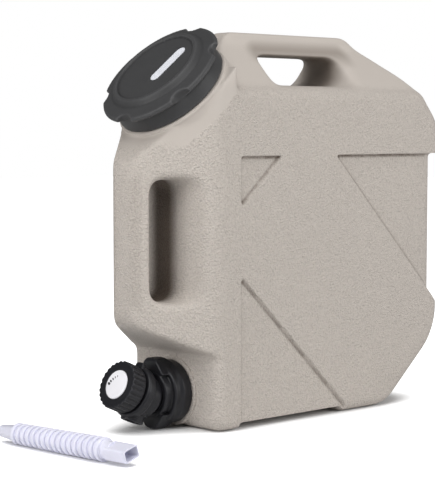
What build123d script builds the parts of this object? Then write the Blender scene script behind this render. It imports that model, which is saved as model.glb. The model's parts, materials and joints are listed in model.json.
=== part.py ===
from build123d import *
import math
import os

# Camping water can, millimetres. X runs from the grip end (-X) to the back,
# Y across, Z up. The origin is on the ground under the middle of the front foot.

# Tank envelope
TANK_HEIGHT = 350.0
TANK_WIDTH = 114.0
TANK_DEPTH = 299.0
WALL = 2.5
FRONT_X = -15.0
EDGE_ROUND = 10.0
CORNER_ROUND = 15.0

# Feet and underside
FOOT_LENGTH = 29.0
BELLY_RAISE = 6.0
BELLY_LENGTH = TANK_DEPTH - 167.0
BELLY_ROUND = 4.0
FRONT_FOOT_ROUND = 9.0
REAR_FOOT_ROUND = 40.0
REAR_SLOPE_START = TANK_DEPTH - 75.0
REAR_SLOPE_TOP = 65.0
REAR_SLOPE_ROUND = 60.0

# Sloping shoulder, deck, bent back slope and roof
DECK_HEIGHT = TANK_HEIGHT - 50.0
DECK_END_ROUND = 12.0
SHOULDER_LIFT = DECK_HEIGHT - 6.0
SHOULDER_ROUND = 14.0
RIDGE_END = TANK_DEPTH - 90.0
RIDGE_ROUND = 22.0
BACK_KNEE_X = TANK_DEPTH - 37.0
BACK_KNEE_DROP = 37.0
BACK_KNEE_ROUND = 60.0
BACK_FOOT_DROP = 79.0
BACK_FOOT_ROUND = 26.0
RIDGE_HALF_WIDTH = 12.0
ROOF_HALF_WIDTH = TANK_WIDTH / 2 - 5.0
ROOF_RISE = 40.0
ROOF_EDGE_DROP = 3.0
ROOF_EDGE_ROUND = 8.0
ROOF_RIDGE_ROUND = 12.0

# Carry handle opening in the roof
HANDLE_GAP_START = 83.0
HANDLE_GAP_MIDDLE = RIDGE_END - 23.0
HANDLE_GAP_RIM = RIDGE_END - 10.5
HANDLE_GAP_FLOOR = DECK_HEIGHT + 2.5
HANDLE_GAP_HEIGHT = 27.0
HANDLE_GAP_FRONT_ROUND = 4.0
HANDLE_GAP_BACK_ROUND = 9.0

# Front grip: a wedge-shaped nose with a finger gap right through it
NOSE_REACH = 60.0
NOSE_TIP_HALF = 12.0
NOSE_BAR_DEPTH = 16.0
NOSE_BOTTOM = 95.0
NOSE_CHIN_ROUND = 18.0
NOSE_ROOT = 67.0
NOSE_ROUND = 10.5
NOSE_BLEND = 24.0
GRIP_GAP_BOTTOM = 114.0
GRIP_GAP_TOP = DECK_HEIGHT - 80.0
GRIP_GAP_ROUND = 9.0
GRIP_WALL_MIDDLE = 12.0
GRIP_WALL_RIM = 6.0

# Sunk panels on the broad sides and the back
RELIEF = 3.0
BACK_RELIEF = 6.5
PANEL_TOP = DECK_HEIGHT - 60.0
PANEL_FRONT = 29.0
SMALL_PANEL_LENGTH = 51.0
SMALL_PANEL_HEIGHT = 45.0
REAR_PANEL_START = TANK_DEPTH - 150.0
REAR_PANEL_HEIGHT = 149.0
LOW_PANEL_TOP = 135.0
LOW_PANEL_LENGTH = TANK_DEPTH - 157.0

# Neck for the cap, on an axis tilted back over the shoulder
NECK_TILT = 45.0
NECK_X = -2.3
NECK_LIFT = 5.9
NECK_RADIUS = TANK_WIDTH / 2 - 9.0
NECK_BORE = NECK_RADIUS - 5.0
NECK_HEIGHT = 17.5
NECK_COLLAR_RADIUS = NECK_RADIUS + 6.2
NECK_COLLAR_DROP = 2.0
NECK_ROOT = 22.0

# Screw cap
CAP_RADIUS = NECK_RADIUS + 5.0
CAP_HEIGHT = 27.7
CAP_WALL = 2.6
CAP_CLEARANCE = 0.6
LOBE_COUNT = 6
LOBE_TURN = 180.0
LOBE_RADIUS = NECK_RADIUS + 11.0
LOBE_BASE = 13.5
LOBE_THICKNESS = 8.5
SCALLOP_RADIUS = 11.0
SCALLOP_ROOT = NECK_RADIUS + 4.4
SKIRT_TAPER = 1.6
LID_DISC_RADIUS = NECK_RADIUS - 8.7
LID_DISC_DEPTH = 2.0
LID_RIM_WIDTH = 4.0
CAP_GASKET_THICKNESS = 2.4
CAP_GASKET_WIDTH = 4.6

# Tap axis and its threaded stub on the tank
TAP_Z = 32.0
STUB_RADIUS = 23.6
STUB_BORE = 15.0
STUB_LENGTH = 13.0
SEAT_RADIUS = 29.0
SEAT_HEIGHT = 2.2

# Winged collar nut that holds the tap on the stub
COLLAR_RADIUS = 28.1
COLLAR_WALL_GAP = 0.4
COLLAR_SKIRT = 13.0
COLLAR_STEP_RADIUS = 26.2
COLLAR_HUB_RADIUS = 21.5
COLLAR_FACE = 2.4
COLLAR_FRONT = 28.0
COLLAR_WINGS = 2
COLLAR_WING_RADIUS = 31.5
COLLAR_WING_TIP = 5.0
COLLAR_WING_ROOT = 17.0
COLLAR_WING_START = 9.0
COLLAR_BORE_GAP = 0.3

# Tap body
FLANGE_RADIUS = 22.8
FLANGE_THICKNESS = 3.0
TAP_GASKET_THICKNESS = 1.8
STEM_RADIUS = 16.5
STEM_BORE = 9.0
VALVE_REACH = 39.0
VALVE_TILT = 24.5
HOUSING_RADIUS = 18.0
HOUSING_BACK = 13.0
HOUSING_FRONT = 12.5
BONNET_RADIUS = 23.0
BONNET_BACK = 4.0
LUG_LENGTH = 6.4
LUG_WIDTH = 10.0
LUG_ROUND = 2.5
LUG_HEIGHT = 5.0
PLUG_BORE = 12.5
PLUG_BORE_BACK = 11.0
OUTLET_RADIUS = 10.1
OUTLET_BORE = 7.6
OUTLET_BORE_START = 13.5
OUTLET_LENGTH = 24.6

# Valve plug, retainer and seals
PLUG_CLEARANCE = 0.06
PLUG_HOLLOW = 9.0
PLUG_FRONT = 9.3
PLUG_CROWN = 4.5
PORT_RADIUS = 6.0
SHAFT_RADIUS = 5.0
RETAINER_THICKNESS = 2.8
ORING_SECTION = 1.0
ORING_GROOVE = 2.3
ORING_PLACES = (7.4, -8.3)

# Knob and its dial
KNOB_BACK = 13.6
KNOB_FRONT = 29.4
KNOB_SKIRT_RADIUS = 20.8
KNOB_NOSE_RADIUS = 18.6
KNOB_WALL = 2.2
KNOB_FLUTES = 16
FLUTE_RADIUS = 2.3
KNOB_WEB_BACK = 20.5
KNOB_WEB_FRONT = 23.5
KNOB_HUB_RADIUS = 8.0
DIAL_RADIUS = 13.0
DIAL_THICKNESS = 1.6
DIAL_CLEARANCE = 0.05
KNOB_WELL_RADIUS = 11.0
SCREW_HEAD_RADIUS = 3.6
SCREW_HEAD_HEIGHT = 2.4
SCREW_SHANK_RADIUS = 1.7
SCREW_LENGTH = 10.0

# Corrugated pouring spout, lying on the ground beside the tap
SPOUT_RINGS = 17
SPOUT_PITCH = 6.47
SPOUT_CREST = 10.0
SPOUT_TIP_CREST = 9.1
SPOUT_GROOVE = 1.8
SPOUT_RING_FOOT = 0.05
SPOUT_RING_CREST = 0.3
SPOUT_WALL = 1.1
SPOUT_CUFF_LENGTH = 19.6
SPOUT_CUFF_RADIUS = 7.0
SPOUT_TIP_RADIUS = 5.2
SPOUT_TIP_ROUND = 1.2
SPOUT_SOCKET_LENGTH = 23.6
SPOUT_SOCKET_WIDTH = 15.5
SPOUT_SOCKET_HEIGHT = 10.8
SPOUT_SOCKET_ROUND = 1.6
SPOUT_NECK_LENGTH = 4.6
SPOUT_NECK_RADIUS = 7.4
SPOUT_NECK_LAP = 3.0
SPOUT_X = -157.4
SPOUT_Y = -111.6
SPOUT_HEADING = 94.0
SPOUT_ROLL = 17.0


def at_x(x):
    """Turns a distance from the tank's front face into a place along X."""
    return FRONT_X + x


def axis_place(x, z, tilt, along=0.0):
    """Location in the middle plane whose +Z leans tilt degrees from up towards -X."""
    lean = math.radians(tilt)
    return Location(
        (at_x(x) - along * math.sin(lean), 0, z + along * math.cos(lean)), (0, -tilt, 0)
    )


def disc(place, radius, low, high):
    """A cylinder on the place's axis, from height low to height high."""
    body = Pos(0, 0, low) * Cylinder(radius, high - low, align=(Align.CENTER, Align.CENTER, Align.MIN))
    return place * body


def turned(place, points):
    """A solid of revolution about the place's axis, from (radius, height) points."""
    profile = make_face(Polyline(*[(r, 0, h) for r, h in points], close=True))
    return place * revolve(profile, Axis.Z)


def outline(points, radii, inset):
    """A closed outline with rounded corners, moved inwards by inset."""
    face = make_face(FilletPolyline(*points, radius=radii, close=True))
    return offset(face, amount=-inset, kind=Kind.ARC) if inset else face


def shoulder_height(x):
    return SHOULDER_LIFT + x * math.tan(math.radians(NECK_TILT))


def box_form(inset):
    """The tank behind the nose, up to the deck, with its rounded outline."""
    points = [
        (at_x(0), 0),
        (at_x(0), shoulder_height(0)),
        (at_x(DECK_HEIGHT - SHOULDER_LIFT), DECK_HEIGHT),
        (at_x(back_slope_x(DECK_HEIGHT)), DECK_HEIGHT),
        (at_x(TANK_DEPTH), TANK_HEIGHT - BACK_FOOT_DROP),
        (at_x(TANK_DEPTH), REAR_SLOPE_TOP),
        (at_x(REAR_SLOPE_START), 0),
    ]
    radii = [
        FRONT_FOOT_ROUND + WALL, 0, 0, DECK_END_ROUND, BACK_FOOT_ROUND, REAR_SLOPE_ROUND, REAR_FOOT_ROUND
    ]
    half = TANK_WIDTH / 2 - inset
    body = extrude(Plane.XZ * outline(points, radii, inset), half, both=True)
    rim = body.edges().filter_by(lambda edge: abs(abs(edge.center().Y) - half) < 0.01)
    return fillet(rim, EDGE_ROUND - inset)


def back_slope_x(z):
    """Distance from the front face at which the lower back slope has the height z."""
    run = (TANK_DEPTH - BACK_KNEE_X) / (BACK_FOOT_DROP - BACK_KNEE_DROP)
    return BACK_KNEE_X + (TANK_HEIGHT - BACK_KNEE_DROP - z) * run


def profile_prism(inset):
    """The can's whole side outline as a prism, which trims the nose and the roof."""
    points = [
        (at_x(-NOSE_REACH), NOSE_BOTTOM),
        (at_x(-NOSE_REACH), shoulder_height(-NOSE_REACH)),
        (at_x(TANK_HEIGHT - SHOULDER_LIFT), TANK_HEIGHT),
        (at_x(RIDGE_END), TANK_HEIGHT),
        (at_x(BACK_KNEE_X), TANK_HEIGHT - BACK_KNEE_DROP),
        (at_x(TANK_DEPTH), TANK_HEIGHT - BACK_FOOT_DROP),
        (at_x(TANK_DEPTH), REAR_SLOPE_TOP),
        (at_x(0), NOSE_ROOT),
    ]
    radii = [
        NOSE_CHIN_ROUND, SHOULDER_ROUND, SHOULDER_ROUND, RIDGE_ROUND, BACK_KNEE_ROUND, BACK_FOOT_ROUND, 0, 0
    ]
    return extrude(Plane.XZ * outline(points, radii, inset), TANK_WIDTH, both=True)


def nose_form(inset):
    """The front nose: a wedge, narrow at its tip and as wide as the tank at its root."""
    half = TANK_WIDTH / 2
    root = at_x(CORNER_ROUND + EDGE_ROUND)
    points = [
        (at_x(-NOSE_REACH), -NOSE_TIP_HALF),
        (at_x(0), -half),
        (root, -half),
        (root, half),
        (at_x(0), half),
        (at_x(-NOSE_REACH), NOSE_TIP_HALF),
    ]
    radii = [NOSE_ROUND, NOSE_BLEND, 0, 0, NOSE_BLEND, NOSE_ROUND]
    plan = outline(points, radii, inset)
    return extrude(plan, TANK_HEIGHT) & profile_prism(inset)


def roof_form(inset):
    """The roof that rises from the deck to the carry handle's bar."""
    top = TANK_HEIGHT + 5
    shelf = DECK_HEIGHT - EDGE_ROUND
    points = [
        (-ROOF_HALF_WIDTH, shelf),
        (-ROOF_HALF_WIDTH, DECK_HEIGHT - ROOF_EDGE_DROP),
        (-RIDGE_HALF_WIDTH, DECK_HEIGHT + ROOF_RISE),
        (-RIDGE_HALF_WIDTH, top),
        (RIDGE_HALF_WIDTH, top),
        (RIDGE_HALF_WIDTH, DECK_HEIGHT + ROOF_RISE),
        (ROOF_HALF_WIDTH, DECK_HEIGHT - ROOF_EDGE_DROP),
        (ROOF_HALF_WIDTH, shelf),
    ]
    radii = [0, ROOF_EDGE_ROUND, ROOF_RIDGE_ROUND, 0, 0, ROOF_RIDGE_ROUND, ROOF_EDGE_ROUND, 0]
    section = Plane.YZ * outline(points, radii, inset)
    return extrude(section, TANK_DEPTH, both=True) & profile_prism(inset)


def neck_place(along=0.0):
    return axis_place(NECK_X, shoulder_height(NECK_X) + NECK_LIFT, NECK_TILT, along)


def tap_place(along=0.0):
    """The tap's level axis: +Z of this place points out of the tank's front."""
    return axis_place(-along, TAP_Z, 90.0)


def bowed_gap(front, middle, rim, low, high):
    """An opening right across the can whose back wall bulges towards the front."""
    side = TANK_WIDTH / 2 + EDGE_ROUND
    wall = ThreePointArc((rim, -side), (middle, 0), (rim, side))
    sides = Polyline((rim, side), (front, side), (front, -side), (rim, -side))
    return Pos(0, 0, low) * extrude(make_face([wall, sides]), high - low)


def across_edges(block):
    """The edges that run across the can, from the front to the back."""
    return block.edges().filter_by(lambda edge: abs(edge.center().Y) < 0.01).sort_by(Axis.X)


def handle_gap(inset):
    """The hand opening under the carry handle."""
    block = bowed_gap(
        at_x(HANDLE_GAP_START) - inset,
        at_x(HANDLE_GAP_MIDDLE) + inset,
        at_x(HANDLE_GAP_RIM) + inset,
        HANDLE_GAP_FLOOR - inset,
        HANDLE_GAP_FLOOR + HANDLE_GAP_HEIGHT + inset,
    )
    block = fillet(across_edges(block)[-2:], HANDLE_GAP_BACK_ROUND + inset)
    return fillet(across_edges(block)[:2], HANDLE_GAP_FRONT_ROUND + inset)


def grip_gap(inset):
    """The finger gap behind the nose's bar."""
    block = bowed_gap(
        at_x(NOSE_BAR_DEPTH - NOSE_REACH) - inset,
        at_x(-GRIP_WALL_MIDDLE) + inset,
        at_x(-GRIP_WALL_RIM) + inset,
        GRIP_GAP_BOTTOM - inset,
        GRIP_GAP_TOP + inset,
    )
    return fillet(across_edges(block), GRIP_GAP_ROUND + inset)


def belly_cut(inset):
    """The raised underside between the front and the rear foot."""
    start = at_x(FOOT_LENGTH) - inset
    end = at_x(FOOT_LENGTH + BELLY_LENGTH) + inset
    low = -BELLY_RAISE - 2 * FRONT_FOOT_ROUND
    section = Pos((start + end) / 2, (low + BELLY_RAISE + inset) / 2) * RectangleRounded(
        end - start, BELLY_RAISE + inset - low, BELLY_ROUND
    )
    return extrude(Plane.XZ * section, TANK_WIDTH, both=True)


def panel_prisms(inset):
    """The sunk panels' triangles, seen from the side, as prisms right across the can."""
    small = [
        (at_x(PANEL_FRONT), PANEL_TOP),
        (at_x(PANEL_FRONT + SMALL_PANEL_LENGTH), PANEL_TOP),
        (at_x(PANEL_FRONT), PANEL_TOP - SMALL_PANEL_HEIGHT),
    ]
    reach = TANK_DEPTH - REAR_PANEL_START
    past = reach + CORNER_ROUND
    rear = [
        (at_x(REAR_PANEL_START), PANEL_TOP),
        (at_x(REAR_PANEL_START + past), PANEL_TOP),
        (at_x(REAR_PANEL_START + past), PANEL_TOP - past * REAR_PANEL_HEIGHT / reach),
    ]
    below = FRONT_FOOT_ROUND
    low = [
        (at_x(PANEL_FRONT), LOW_PANEL_TOP),
        (at_x(PANEL_FRONT + LOW_PANEL_LENGTH * (1 + below / LOW_PANEL_TOP)), -below),
        (at_x(PANEL_FRONT), -below),
    ]
    faces = [make_face(Polyline(*points, close=True)) for points in (small, rear, low)]
    if inset:
        faces = [offset(face, amount=inset, kind=Kind.INTERSECTION) for face in faces]
    return [extrude(Plane.XZ * face, TANK_WIDTH, both=True) for face in faces]


def panel_core(inset):
    """What stays of the tank behind the sunk panels."""
    length = TANK_DEPTH - BACK_RELIEF - inset
    plan = RectangleRounded(2 * length, TANK_WIDTH - 2 * (RELIEF + inset), CORNER_ROUND)
    return Pos(FRONT_X, 0, -TANK_HEIGHT / 2) * extrude(plan, 2 * TANK_HEIGHT)


def sink_panels(body, inset):
    core = panel_core(inset)
    for prism in panel_prisms(inset):
        body = body - (prism - core)
    return body


def tank_form(inset):
    """The can's closed form without neck and stub, moved inwards by inset."""
    body = box_form(inset) + nose_form(inset) + roof_form(inset)
    body = body + disc(neck_place(), NECK_COLLAR_RADIUS - inset, -NECK_ROOT, -NECK_COLLAR_DROP - inset)
    body = body - handle_gap(inset) - grip_gap(inset) - belly_cut(inset)
    return sink_panels(body, inset)


def make_tank():
    """The blow-moulded tank, hollow, with its neck and the tap's stub."""
    body = tank_form(0.0)
    body += disc(neck_place(), NECK_RADIUS, -NECK_COLLAR_DROP - WALL, NECK_HEIGHT)
    body += disc(tap_place(), SEAT_RADIUS, -WALL, SEAT_HEIGHT)
    body += disc(tap_place(), STUB_RADIUS, -WALL, STUB_LENGTH)
    body -= tank_form(WALL)
    body -= disc(neck_place(), NECK_BORE, -NECK_COLLAR_DROP - 3 * WALL, NECK_HEIGHT + 1)
    body -= disc(tap_place(), STUB_BORE, -2 * WALL, STUB_LENGTH + 1)
    return body


def cap_inner_radius():
    return NECK_RADIUS + CAP_CLEARANCE


def cap_roof():
    """Height above the skirt's edge at which the lid's inner face lies."""
    return NECK_HEIGHT + CAP_GASKET_THICKNESS


def make_cap():
    """The lobed screw cap: a skirt, a scalloped rim and a sunk disc in the lid."""
    rim = LID_DISC_RADIUS + LID_RIM_WIDTH
    lobe_top = LOBE_BASE + LOBE_THICKNESS
    cap = turned(neck_place(), [
        (0, 0), (CAP_RADIUS, 0), (CAP_RADIUS - SKIRT_TAPER / 2, LOBE_BASE),
        (LOBE_RADIUS - 1, LOBE_BASE + 3), (LOBE_RADIUS, LOBE_BASE + 4.5),
        (LOBE_RADIUS - 1.5, lobe_top - 1.5), (rim + 3, lobe_top + 1),
        (rim, CAP_HEIGHT - 1), (rim - 1.2, CAP_HEIGHT), (LID_DISC_RADIUS, CAP_HEIGHT),
        (LID_DISC_RADIUS - 0.8, CAP_HEIGHT - LID_DISC_DEPTH), (0, CAP_HEIGHT - LID_DISC_DEPTH),
    ])
    step = 360 / LOBE_COUNT
    reach = SCALLOP_ROOT + SCALLOP_RADIUS
    for index in range(LOBE_COUNT):
        turn = neck_place() * Rot(0, 0, LOBE_TURN + index * step)
        cap -= turn * Pos(reach, 0, LOBE_BASE - 2) * Cylinder(
            SCALLOP_RADIUS, CAP_HEIGHT, align=(Align.CENTER, Align.CENTER, Align.MIN)
        )
    cap -= disc(neck_place(), cap_inner_radius(), -1, cap_roof())
    return cap - disc(
        neck_place(), LID_DISC_RADIUS - CAP_WALL, 0, CAP_HEIGHT - LID_DISC_DEPTH - CAP_WALL
    )


def make_cap_gasket():
    place = neck_place()
    outer = cap_inner_radius() - 0.1
    ring = disc(place, outer, NECK_HEIGHT, cap_roof())
    return ring - disc(place, outer - CAP_GASKET_WIDTH, NECK_HEIGHT - 1, cap_roof() + 1)


def flange_start():
    """Distance out from the tank at which the tap's flange begins."""
    return STUB_LENGTH + TAP_GASKET_THICKNESS


def flange_end():
    return flange_start() + FLANGE_THICKNESS


def make_collar():
    """The winged collar nut that draws the tap's flange on to the stub."""
    start = SEAT_HEIGHT + COLLAR_WALL_GAP
    skirt_end = start + COLLAR_SKIRT
    step = flange_end() + COLLAR_FACE
    end = COLLAR_FRONT
    body = turned(tap_place(), [
        (0, start), (COLLAR_RADIUS - 0.8, start), (COLLAR_RADIUS, start + 0.8),
        (COLLAR_RADIUS, skirt_end - 4), (COLLAR_STEP_RADIUS, skirt_end),
        (COLLAR_STEP_RADIUS, step - 1), (COLLAR_STEP_RADIUS - 1, step),
        (COLLAR_HUB_RADIUS, step), (COLLAR_HUB_RADIUS, end - 1), (COLLAR_HUB_RADIUS - 1, end), (0, end),
    ])
    reach = turned(tap_place(), [
        (0, COLLAR_WING_START), (COLLAR_RADIUS, COLLAR_WING_START), (COLLAR_WING_RADIUS, skirt_end),
        (COLLAR_WING_RADIUS, end - 2), (COLLAR_WING_RADIUS - 2, end - 0.5), (0, end - 0.5),
    ])
    section = make_face(FilletPolyline(
        (STEM_RADIUS + 1, -COLLAR_WING_ROOT), (STEM_RADIUS + 1, COLLAR_WING_ROOT),
        (COLLAR_WING_RADIUS + 1, COLLAR_WING_TIP), (COLLAR_WING_RADIUS + 1, -COLLAR_WING_TIP),
        radius=[0, 0, 3, 3], close=True,
    ))
    for index in range(COLLAR_WINGS):
        wing = tap_place() * Rot(0, 0, index * 360 / COLLAR_WINGS) * extrude(section, end)
        body += wing & reach
    body -= disc(tap_place(), STUB_RADIUS + 0.35, 0, flange_end() + COLLAR_BORE_GAP)
    return body - disc(tap_place(), STEM_RADIUS + COLLAR_BORE_GAP, 0, end + 1)


def make_tap_gasket():
    ring = disc(tap_place(), FLANGE_RADIUS, STUB_LENGTH, flange_start())
    return ring - disc(tap_place(), STUB_BORE + 1.0, 0, flange_end())


def valve_place(along=0.0):
    """The knob's axis, through the middle of the valve."""
    return axis_place(-VALVE_REACH, TAP_Z, 90.0 - VALVE_TILT, along)


def outlet_place():
    """The outlet's axis, square to the knob's, pointing down and forward."""
    return axis_place(-VALVE_REACH, TAP_Z, 180.0 - VALVE_TILT)


def make_tap_body():
    """Flange, stem, valve housing, bonnet ring and outlet, moulded in one."""
    stem = disc(tap_place(), STEM_RADIUS, flange_start(), VALVE_REACH)
    flange = disc(tap_place(), FLANGE_RADIUS, flange_start(), flange_end())
    housing = turned(valve_place(), [
        (0, -HOUSING_BACK), (HOUSING_RADIUS - 4, -HOUSING_BACK), (HOUSING_RADIUS, 4 - HOUSING_BACK),
        (HOUSING_RADIUS, BONNET_BACK - 2), (BONNET_RADIUS, BONNET_BACK),
        (BONNET_RADIUS, HOUSING_FRONT - 2.5), (BONNET_RADIUS - 1.5, HOUSING_FRONT - 1),
        (0, HOUSING_FRONT - 1),
    ])
    lip = disc(valve_place(), PLUG_BORE + 2.0, 0, HOUSING_FRONT)
    lug = valve_place() * Pos(BONNET_RADIUS, 0, BONNET_BACK + 3) * extrude(
        RectangleRounded(LUG_LENGTH, LUG_WIDTH, LUG_ROUND), LUG_HEIGHT
    )
    outlet = disc(outlet_place(), OUTLET_RADIUS, 0, OUTLET_LENGTH)
    root = disc(outlet_place(), OUTLET_RADIUS + 2.0, 0, HOUSING_RADIUS - 1)
    body = stem + flange + housing + lip + lug + root + outlet
    body -= disc(tap_place(), STEM_BORE, 0, VALVE_REACH - 4)
    body -= disc(valve_place(), PLUG_BORE, -PLUG_BORE_BACK, HOUSING_FRONT + 1)
    body -= disc(outlet_place(), PORT_RADIUS, 0, OUTLET_BORE_START + 1)
    return body - disc(outlet_place(), OUTLET_BORE, OUTLET_BORE_START, OUTLET_LENGTH + 1)


def plug_radius():
    return PLUG_BORE - PLUG_CLEARANCE


def make_valve_plug():
    """The turning plug: a cup with one side port, and the shaft to the knob."""
    place = valve_place()
    back = -PLUG_BORE_BACK + 0.3
    body = disc(place, plug_radius(), back, PLUG_FRONT)
    body += disc(place, SHAFT_RADIUS, PLUG_FRONT - 1, KNOB_WEB_BACK)
    body -= disc(place, PLUG_HOLLOW, back - 1, PLUG_CROWN)
    body -= disc(place * Rot(0, 0, 90) * Rot(0, 90, 0), PORT_RADIUS, 0, 2 * PLUG_BORE)
    for height in ORING_PLACES:
        body -= oring_groove(height)
    return body - disc(place, SCREW_SHANK_RADIUS, KNOB_WEB_FRONT - SCREW_LENGTH, KNOB_WEB_FRONT)


def oring_groove(height):
    half = ORING_SECTION + 0.15
    ring = disc(valve_place(), PLUG_BORE + 1, height - half, height + half)
    return ring - disc(valve_place(), PLUG_BORE - ORING_GROOVE, height - half - 1, height + half + 1)


def make_oring(height):
    centre = PLUG_BORE - 0.05 - ORING_SECTION
    return valve_place(height) * Torus(centre, ORING_SECTION)


def make_plug_retainer():
    """The ring pressed into the bonnet that keeps the plug in."""
    start = HOUSING_FRONT - RETAINER_THICKNESS
    ring = disc(valve_place(), PLUG_BORE, start, HOUSING_FRONT)
    return ring - disc(valve_place(), SHAFT_RADIUS + 0.15, start - 1, HOUSING_FRONT + 1)


def make_tap_knob():
    """The fluted knob, hollow behind, with a recess for the dial in front."""
    place = valve_place()
    grip_start = KNOB_BACK + 4.0
    body = turned(place, [
        (0, KNOB_BACK), (KNOB_SKIRT_RADIUS, KNOB_BACK), (KNOB_SKIRT_RADIUS, grip_start - 1),
        (KNOB_NOSE_RADIUS + 0.9, grip_start), (KNOB_NOSE_RADIUS, KNOB_FRONT - 1.5),
        (KNOB_NOSE_RADIUS - 1.2, KNOB_FRONT), (0, KNOB_FRONT),
    ])
    for index in range(KNOB_FLUTES):
        turn = place * Rot(0, 0, (index + 0.5) * 360 / KNOB_FLUTES)
        body -= turn * Pos(KNOB_NOSE_RADIUS + FLUTE_RADIUS - 0.9, 0, grip_start) * Cylinder(
            FLUTE_RADIUS, KNOB_FRONT, align=(Align.CENTER, Align.CENTER, Align.MIN)
        )
    hollow = disc(place, KNOB_NOSE_RADIUS - KNOB_WALL - 0.6, KNOB_BACK - 1, KNOB_WEB_BACK)
    body -= hollow - disc(place, KNOB_HUB_RADIUS, KNOB_BACK + 0.6, KNOB_WEB_BACK)
    body -= disc(place, SHAFT_RADIUS + 0.02, KNOB_BACK - 1, KNOB_WEB_BACK)
    body -= disc(place, SCREW_SHANK_RADIUS + 0.2, KNOB_WEB_BACK - 1, KNOB_WEB_FRONT + 1)
    body -= disc(place, KNOB_WELL_RADIUS, KNOB_WEB_FRONT, KNOB_FRONT)
    return body - disc(place, DIAL_RADIUS + DIAL_CLEARANCE, KNOB_FRONT - DIAL_THICKNESS, KNOB_FRONT + 1)


def make_knob_screw():
    place = valve_place()
    head = disc(place, SCREW_HEAD_RADIUS, KNOB_WEB_FRONT, KNOB_WEB_FRONT + SCREW_HEAD_HEIGHT)
    shank = disc(place, SCREW_SHANK_RADIUS, KNOB_WEB_FRONT - SCREW_LENGTH, KNOB_WEB_FRONT)
    slot = place * Pos(0, 0, KNOB_WEB_FRONT + SCREW_HEAD_HEIGHT) * Box(8, 1, 1.8)
    return head + shank - slot


def make_dial_disc():
    """The white disc pressed into the knob's front, slightly crowned."""
    base = KNOB_FRONT - DIAL_THICKNESS
    top = KNOB_FRONT + 0.8
    return turned(valve_place(), [
        (0, base), (DIAL_RADIUS, base), (DIAL_RADIUS, KNOB_FRONT), (DIAL_RADIUS - 1.2, top - 0.2),
        (0, top),
    ])


def rings_start():
    return SPOUT_SOCKET_LENGTH + SPOUT_NECK_LENGTH


def spout_place():
    """The spout's axis from socket to tip, leaning so that every ring rests on the ground."""
    fall = (SPOUT_CREST - SPOUT_TIP_CREST) / ((SPOUT_RINGS - 1) * SPOUT_PITCH)
    height = SPOUT_CREST + fall * (rings_start() + (1 - SPOUT_RING_CREST) * SPOUT_PITCH)
    lean = 90 + math.degrees(math.atan(fall))
    return Pos(SPOUT_X, SPOUT_Y, height) * Rot(0, 0, SPOUT_HEADING) * Rot(0, lean, 0)


def bellows_points(inset):
    """(radius, height) points of the neck, the rings and the tapered cuff."""
    start = rings_start()
    points = [(SPOUT_NECK_RADIUS - inset, start)]
    for ring in range(SPOUT_RINGS):
        crest = SPOUT_CREST - inset - (SPOUT_CREST - SPOUT_TIP_CREST) * ring / (SPOUT_RINGS - 1)
        low = start + ring * SPOUT_PITCH
        points += [
            (crest - SPOUT_GROOVE, low + SPOUT_RING_FOOT * SPOUT_PITCH),
            (crest, low + SPOUT_RING_CREST * SPOUT_PITCH),
            (crest, low + (1 - SPOUT_RING_CREST) * SPOUT_PITCH),
            (crest - SPOUT_GROOVE, low + (1 - SPOUT_RING_FOOT) * SPOUT_PITCH),
        ]
    end = start + SPOUT_RINGS * SPOUT_PITCH
    tip = end + SPOUT_CUFF_LENGTH
    return points + [
        (SPOUT_CUFF_RADIUS - inset, end + 0.5),
        (SPOUT_TIP_RADIUS - inset, tip - SPOUT_TIP_ROUND),
        (SPOUT_TIP_RADIUS - 0.5 - inset, tip),
    ]


def spout_form(inset, spare):
    """The spout's closed form; spare lengthens both ends so that the bore runs out."""
    start = SPOUT_SOCKET_LENGTH - SPOUT_NECK_LAP + inset
    bellows = bellows_points(inset)
    radius, end = bellows[-1]
    points = [(0, start), (SPOUT_NECK_RADIUS - inset, start)] + bellows[:-1]
    points += [(radius, end + spare), (0, end + spare)]
    tube = turned(Location(), points)
    section = RectangleRounded(
        SPOUT_SOCKET_HEIGHT - 2 * inset, SPOUT_SOCKET_WIDTH - 2 * inset, SPOUT_SOCKET_ROUND
    )
    socket = Pos(0, 0, -spare) * extrude(section, SPOUT_SOCKET_LENGTH - inset + spare)
    return spout_place() * (tube + Rot(0, 0, -SPOUT_ROLL) * socket)


def make_spout():
    return spout_form(0.0, 0.0) - spout_form(SPOUT_WALL, 2.0)


PIECES = {
    "tank": make_tank,
    "cap": make_cap,
    "cap_gasket": make_cap_gasket,
    "tap_collar": make_collar,
    "tap_gasket": make_tap_gasket,
    "tap_body": make_tap_body,
    "valve_plug": make_valve_plug,
    "plug_oring_front": lambda: make_oring(ORING_PLACES[0]),
    "plug_oring_rear": lambda: make_oring(ORING_PLACES[1]),
    "plug_retainer": make_plug_retainer,
    "tap_knob": make_tap_knob,
    "knob_screw": make_knob_screw,
    "dial_disc": make_dial_disc,
    "spout": make_spout,
}

os.makedirs("parts", exist_ok=True)
for name, make in PIECES.items():
    export_step(make(), f"parts/{name}.step")
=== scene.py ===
"""Dresses the camping water can: soft moulded forms, threads, rings, finishes and a studio."""

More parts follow.
